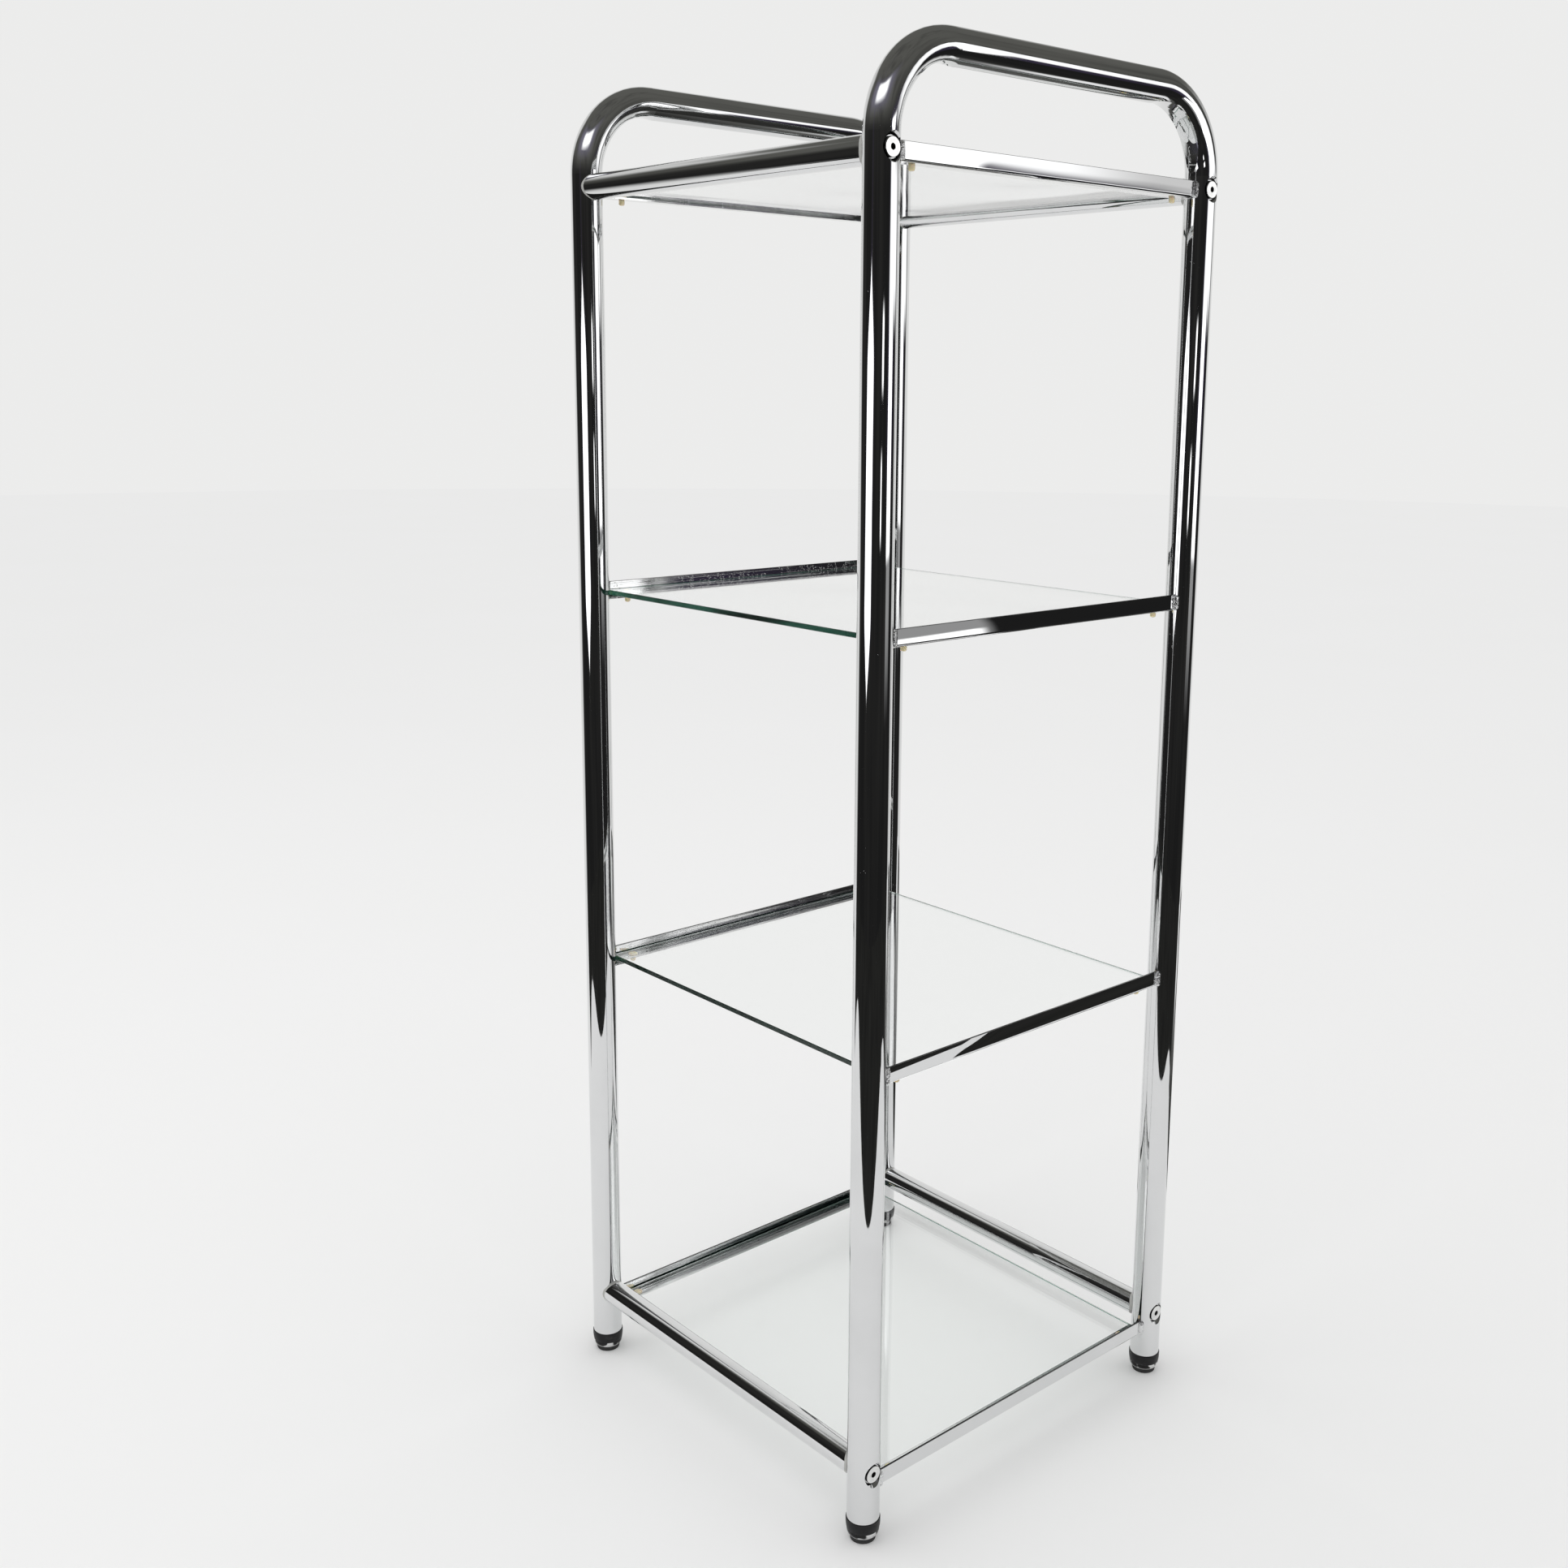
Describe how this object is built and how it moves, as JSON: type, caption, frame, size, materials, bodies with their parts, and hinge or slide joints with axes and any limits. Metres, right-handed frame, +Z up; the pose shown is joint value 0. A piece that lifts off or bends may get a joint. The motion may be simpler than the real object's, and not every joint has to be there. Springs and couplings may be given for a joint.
{
  "type": "etagere",
  "caption": "Tall square etagere: two chromed tube side frames bent to an inverted U, joined by bolted cross tubes, with loose glass shelves on angle rails and small round feet.",
  "frame": {"origin": "on the floor, in the middle of the footprint of the four feet", "axes": "+Z up; +X along the cross tubes from the left side frame to the right one; +Y from the front to the rear"},
  "size_m": [0.3642, 0.3622, 1.08],
  "materials": {
    "tube_chrome": "mirror chrome plate on bent steel tube",
    "rail_chrome": "chrome plate on steel angle, dull and pitted on the inner side",
    "plug_plastic": "grey moulded plastic",
    "bolt_chrome": "bright plated steel, slightly dull head",
    "bumper_plastic": "clear soft plastic gone yellow",
    "shelf_glass": "clear float glass with a green edge",
    "pad_rubber": "black rubber",
    "dome_chrome": "pressed chrome plated steel",
    "collar_plastic": "black moulded plastic"
  },
  "bodies": {
    "frame": {"left_side_frame": "tube_chrome", "left_rail_bottom": "rail_chrome", "left_rail_lower": "rail_chrome", "left_rail_upper": "rail_chrome", "left_rail_top": "rail_chrome", "right_side_frame": "tube_chrome", "right_rail_bottom": "rail_chrome", "right_rail_lower": "rail_chrome", "right_rail_upper": "rail_chrome", "right_rail_top": "rail_chrome", "front_cross_tube_bottom": "tube_chrome", "saddle_plug_front_left_bottom": "plug_plastic", "saddle_plug_front_right_bottom": "plug_plastic", "front_cross_tube_top": "tube_chrome", "saddle_plug_front_left_top": "plug_plastic", "saddle_plug_front_right_top": "plug_plastic", "rear_cross_tube_bottom": "tube_chrome", "saddle_plug_rear_left_bottom": "plug_plastic", "saddle_plug_rear_right_bottom": "plug_plastic", "rear_cross_tube_top": "tube_chrome", "saddle_plug_rear_left_top": "plug_plastic", "saddle_plug_rear_right_top": "plug_plastic", "bolts": "bolt_chrome", "bumpers_bottom": "bumper_plastic", "bumpers_lower": "bumper_plastic", "bumpers_upper": "bumper_plastic", "bumpers_top": "bumper_plastic", "foot_pad_front_left": "pad_rubber", "foot_dome_front_left": "dome_chrome", "foot_collar_front_left": "collar_plastic", "foot_pad_front_right": "pad_rubber", "foot_dome_front_right": "dome_chrome", "foot_collar_front_right": "collar_plastic", "foot_pad_rear_left": "pad_rubber", "foot_dome_rear_left": "dome_chrome", "foot_collar_rear_left": "collar_plastic", "foot_pad_rear_right": "pad_rubber", "foot_dome_rear_right": "dome_chrome", "foot_collar_rear_right": "collar_plastic"},
    "shelf_bottom": {"glass_shelf_bottom": "shelf_glass"},
    "shelf_lower": {"glass_shelf_lower": "shelf_glass"},
    "shelf_upper": {"glass_shelf_upper": "shelf_glass"},
    "shelf_top": {"glass_shelf_top": "shelf_glass"}
  },
  "joints": [
    {"name": "shelf_bottom_lift", "type": "slide", "parent": "frame", "child": "shelf_bottom", "axis": [0, 0, 1], "range_m": [0, 0.3]},
    {"name": "shelf_lower_lift", "type": "slide", "parent": "frame", "child": "shelf_lower", "axis": [0, 0, 1], "range_m": [0, 0.3]},
    {"name": "shelf_upper_lift", "type": "slide", "parent": "frame", "child": "shelf_upper", "axis": [0, 0, 1], "range_m": [0, 0.3]},
    {"name": "shelf_top_lift", "type": "slide", "parent": "frame", "child": "shelf_top", "axis": [0, 0, 1], "range_m": [0, 0.016]}
  ]
}
